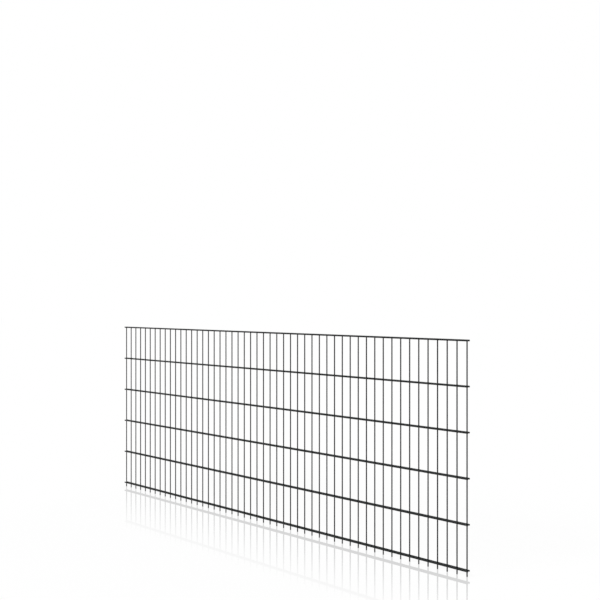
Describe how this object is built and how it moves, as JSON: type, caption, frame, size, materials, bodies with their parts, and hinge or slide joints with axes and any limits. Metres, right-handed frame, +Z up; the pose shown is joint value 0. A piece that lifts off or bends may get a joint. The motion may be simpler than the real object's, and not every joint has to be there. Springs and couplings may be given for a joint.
{
  "type": "twin-rod welded mesh fence panel",
  "caption": "Stiff flat fence panel of welded steel wire, with thin uprights held between pairs of heavier rods, for fixing between posts.",
  "frame": {"origin": "foot of the middle upright, at the height of the ground, on the centre plane of the uprights", "axes": "+Z up, +X along the panel's length, front face towards -Y"},
  "size_m": [2.516, 0.0218, 1.03],
  "materials": {
    "coated_wire": "dark grey powder coat, satin"
  },
  "bodies": {
    "root": {"back_rod_bottom": "coated_wire", "back_rod_row_2": "coated_wire", "back_rod_row_3": "coated_wire", "back_rod_row_4": "coated_wire", "back_rod_row_5": "coated_wire", "back_rod_top": "coated_wire", "front_rod_bottom": "coated_wire", "front_rod_row_2": "coated_wire", "front_rod_row_3": "coated_wire", "front_rod_row_4": "coated_wire", "front_rod_row_5": "coated_wire", "front_rod_top": "coated_wire", "uprights_01_03": "coated_wire", "uprights_04_06": "coated_wire", "uprights_07_09": "coated_wire", "uprights_10_12": "coated_wire", "uprights_13_15": "coated_wire", "uprights_16_18": "coated_wire", "uprights_19_21": "coated_wire", "uprights_22_24": "coated_wire", "uprights_25_27": "coated_wire", "uprights_28_30": "coated_wire", "uprights_31_33": "coated_wire", "uprights_34_36": "coated_wire", "uprights_37_39": "coated_wire", "uprights_40_42": "coated_wire", "uprights_43_45": "coated_wire", "uprights_46_48": "coated_wire", "uprights_49_51": "coated_wire"}
  },
  "joints": []
}
